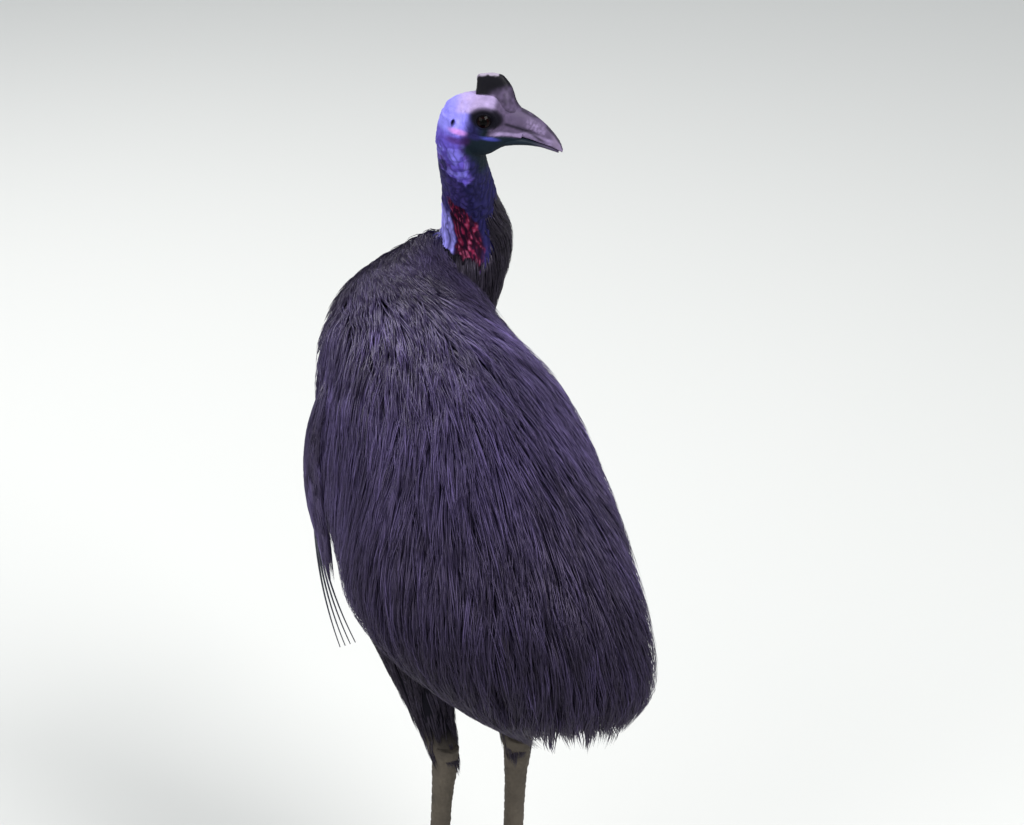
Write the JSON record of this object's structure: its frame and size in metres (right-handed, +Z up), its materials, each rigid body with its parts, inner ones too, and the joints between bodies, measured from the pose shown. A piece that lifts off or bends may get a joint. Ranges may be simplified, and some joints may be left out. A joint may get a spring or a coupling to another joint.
{
  "type": "dwarf cassowary model",
  "caption": "Life-size still model of an adult dwarf cassowary standing on both feet and looking back over its right shoulder.",
  "frame": {"origin": "on the floor, at the middle of the model's footprint box", "axes": "+Z up, -Y the way the body faces, +X the bird's left"},
  "size_m": [0.3586, 0.6188, 1.0717],
  "materials": {
    "plumage": "coarse, hair-like black feathers with a faint violet sheen",
    "head_skin": "bare violet-blue skin, greyer over the crown, black round the eyes",
    "neck_skin": "bare wrinkled violet-blue skin, dark blue in front, red at the side lower down",
    "casque": "glossy black horn, dusty grey in front",
    "bill": "dark grey-black horn, paler at the edges",
    "eye": "wet, very dark brown",
    "leg_scale": "grey-brown plates and small scales",
    "claw": "dark horn, worn at the tips"
  },
  "bodies": {
    "root": {"head": "head_skin", "casque": "casque", "bill_upper": "bill", "bill_lower": "bill", "eye_left": "eye", "eye_right": "eye", "neck_upper": "neck_skin", "neck_lower": "plumage", "torso": "plumage", "tail": "plumage", "thigh_left": "plumage", "wing_left": "plumage", "thigh_right": "plumage", "wing_right": "plumage", "shank_left": "leg_scale", "shank_right": "leg_scale", "toe_inner_left": "leg_scale", "toe_inner_right": "leg_scale", "claw_inner_left": "claw", "claw_inner_right": "claw", "toe_middle_left": "leg_scale", "toe_middle_right": "leg_scale", "claw_middle_left": "claw", "claw_middle_right": "claw", "toe_outer_left": "leg_scale", "toe_outer_right": "leg_scale", "claw_outer_left": "claw", "claw_outer_right": "claw"}
  },
  "joints": []
}
